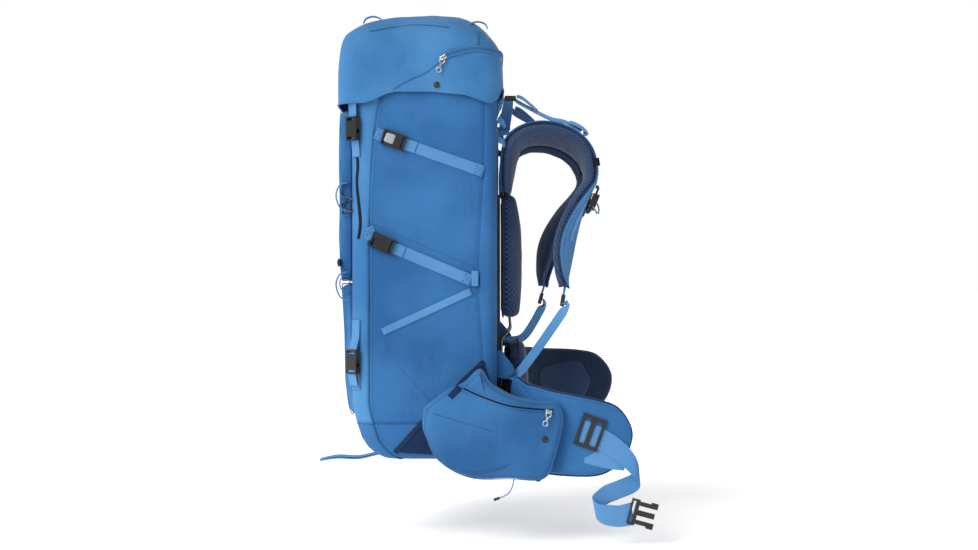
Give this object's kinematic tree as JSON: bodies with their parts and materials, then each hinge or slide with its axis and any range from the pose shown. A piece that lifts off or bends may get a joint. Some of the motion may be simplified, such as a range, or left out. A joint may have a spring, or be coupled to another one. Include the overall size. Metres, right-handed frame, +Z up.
{
  "type": "trekking backpack",
  "caption": "Tall trekking backpack with a hinged lid, padded harness, compression straps and a hip belt with folding fins and zipped pockets.",
  "frame": {"origin": "top of the haul loop, on the middle of the pack's back", "axes": "+X from the pack towards the wearer, +Y to the wearer's left, +Z up"},
  "size_m": [0.5969, 0.4572, 0.915],
  "materials": {
    "light_blue_shell": "coated ripstop nylon, satin",
    "side_blue_shell": "coated plain-weave nylon, satin",
    "navy_base": "heavy navy nylon",
    "navy_mesh": "three-dimensional spacer mesh",
    "blue_webbing": "woven webbing",
    "black_plastic": "moulded acetal",
    "silver_metal": "polished wire",
    "black_zip": "coated zip tape",
    "aluminium_bar": "brushed bar",
    "steel_rod": "drawn spring rod",
    "black_sheet": "polyethylene sheet"
  },
  "bodies": {
    "pack": {"base_panel": "navy_base", "front_panel": "light_blue_shell", "back_panel": "side_blue_shell", "side_panel_right": "side_blue_shell", "side_panel_left": "side_blue_shell", "snow_collar": "light_blue_shell", "front_pocket_upper": "light_blue_shell", "front_pocket_lower": "light_blue_shell", "front_pocket_gussets": "side_blue_shell", "side_pockets": "navy_mesh", "compression_straps": "blue_webbing", "buckle_plugs": "black_plastic", "buckle_sockets": "black_plastic", "front_webbing": "blue_webbing", "gear_loops": "blue_webbing", "frame_stays": "aluminium_bar", "frame_cross_bars": "black_plastic", "back_sheet": "black_sheet", "back_pads": "navy_mesh", "frame_rods": "steel_rod", "lumbar_anchor": "black_sheet", "load_lifter_locks": "black_plastic", "back_tabs": "side_blue_shell", "lower_webbing": "blue_webbing"},
    "lid": {"lid_shell": "light_blue_shell", "lid_floor": "side_blue_shell", "lid_zip": "black_zip", "lid_loops_and_snaps": "blue_webbing", "lid_straps": "blue_webbing", "lid_buckle_plugs": "black_plastic"},
    "lid_pull": {"lid_zip_pull": "silver_metal"},
    "haul_loop": {"haul_loop": "blue_webbing"},
    "harness": {"harness_yoke": "navy_mesh", "shoulder_linings": "navy_mesh", "shoulder_covers": "light_blue_shell", "strap_ladder_locks": "black_plastic", "harness_webbing": "blue_webbing", "sternum_rails": "navy_base"},
    "sternum_strap": {"sternum_sliders": "black_plastic", "sternum_webbing": "blue_webbing", "sternum_buckle": "black_plastic"},
    "hip_belt": {"hip_belt_core": "black_sheet", "lumbar_pad": "navy_mesh", "hip_pocket_rear_right": "side_blue_shell", "hip_pocket_rear_left": "side_blue_shell"},
    "fin_right": {"hip_fin_right": "side_blue_shell", "hip_pocket_front_right": "side_blue_shell", "hip_tri_glide": "black_plastic", "hip_webbing_right": "blue_webbing", "hip_plug": "black_plastic", "pull_cord": "navy_base", "pull_cord_end": "black_plastic"},
    "fin_left": {"hip_fin_left": "side_blue_shell", "hip_pocket_front_left": "side_blue_shell", "hip_webbing_left": "blue_webbing", "hip_socket": "black_plastic"},
    "hip_pull_right": {"hip_zip_pull_right": "silver_metal"},
    "hip_pull_left": {"hip_zip_pull_left": "silver_metal"},
    "prong_upper": {"hip_prong_upper": "black_plastic"},
    "prong_lower": {"hip_prong_lower": "black_plastic"}
  },
  "joints": [
    {"name": "lid_hinge", "type": "hinge", "parent": "pack", "child": "lid", "pos_m": [0.001, 0, 0.003], "axis": [0, 1, 0], "range_deg": [0, 90]},
    {"name": "lid_pull_swing", "type": "hinge", "parent": "lid", "child": "lid_pull", "pos_m": [-0.106, -0.1622, 0.051], "axis": [0, 1, 0], "range_deg": [-110, 60]},
    {"name": "haul_loop_fold", "type": "hinge", "parent": "pack", "child": "haul_loop", "pos_m": [0.013, 0, -0.052], "axis": [0, 1, 0], "range_deg": [0, 70]},
    {"name": "harness_swing", "type": "hinge", "parent": "pack", "child": "harness", "pos_m": [-0.004, 0, -0.176], "axis": [0, 1, 0], "range_deg": [-1, 6]},
    {"name": "sternum_slide", "type": "slide", "parent": "harness", "child": "sternum_strap", "axis": [-0.365, 0, -0.931], "range_m": [-0.008, 0.008]},
    {"name": "hip_belt_rock", "type": "hinge", "parent": "pack", "child": "hip_belt", "pos_m": [0.008, 0, -0.58], "axis": [1, 0, 0], "range_deg": [-4, 4]},
    {"name": "fin_right_wrap", "type": "hinge", "parent": "hip_belt", "child": "fin_right", "pos_m": [0.024, -0.128, -0.591], "axis": [0, 0, 1], "range_deg": [-4, 30]},
    {"name": "fin_left_wrap", "type": "hinge", "parent": "hip_belt", "child": "fin_left", "pos_m": [0.024, 0.128, -0.546], "axis": [0, 0, -1], "range_deg": [-4, 30]},
    {"name": "hip_pull_right_swing", "type": "hinge", "parent": "fin_right", "child": "hip_pull_right", "pos_m": [0.076, -0.2276, -0.558], "axis": [0, 1, 0], "range_deg": [-100, 40]},
    {"name": "hip_pull_left_swing", "type": "hinge", "parent": "fin_left", "child": "hip_pull_left", "pos_m": [0.076, 0.2276, -0.513], "axis": [0, 1, 0], "range_deg": [-100, 40]},
    {"name": "prong_upper_squeeze", "type": "hinge", "parent": "fin_right", "child": "prong_upper", "pos_m": [0.2326, -0.2002, -0.7164], "axis": [0, 1, 0], "range_deg": [0, 8], "stiffness_Nm_per_rad": 0.5},
    {"name": "prong_lower_squeeze", "type": "hinge", "parent": "fin_right", "child": "prong_lower", "pos_m": [0.2244, -0.2002, -0.7473], "axis": [0, -1, 0], "range_deg": [0, 8], "stiffness_Nm_per_rad": 0.5}
  ],
  "couplings": [
    {"joint": "prong_lower_squeeze", "follows": "prong_upper_squeeze", "ratio": 1}
  ]
}
